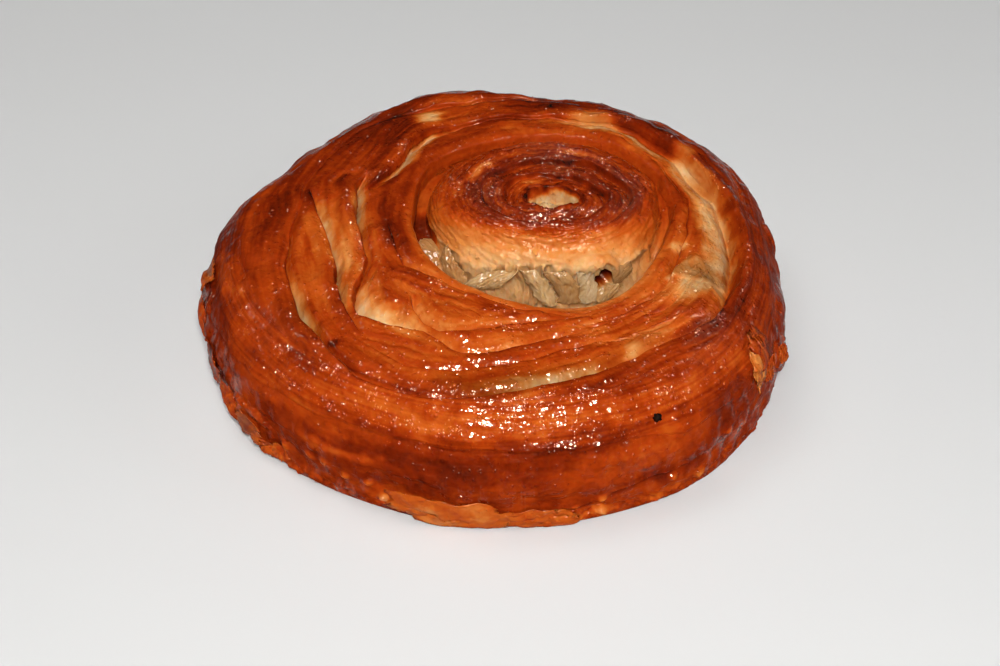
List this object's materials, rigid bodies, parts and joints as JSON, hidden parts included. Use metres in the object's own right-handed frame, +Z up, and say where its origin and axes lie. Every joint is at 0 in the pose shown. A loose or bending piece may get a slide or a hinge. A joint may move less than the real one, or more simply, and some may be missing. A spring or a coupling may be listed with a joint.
{
  "type": "kouign amann",
  "caption": "Round caramel-glazed laminated butter cake wound in a coil, its heart standing over an open hollow, with a flat base.",
  "frame": {"origin": "on the flat base, at the middle of the cake's width and depth", "axes": "+Z up from the base; +X along the widest way across; +Y away from the side where the hollow beside the heart opens"},
  "size_m": [0.1217, 0.1138, 0.0336],
  "materials": {
    "crust": "baked laminated dough under a glossy caramel glaze"
  },
  "bodies": {
    "root": {"pastry": "crust"}
  },
  "joints": []
}
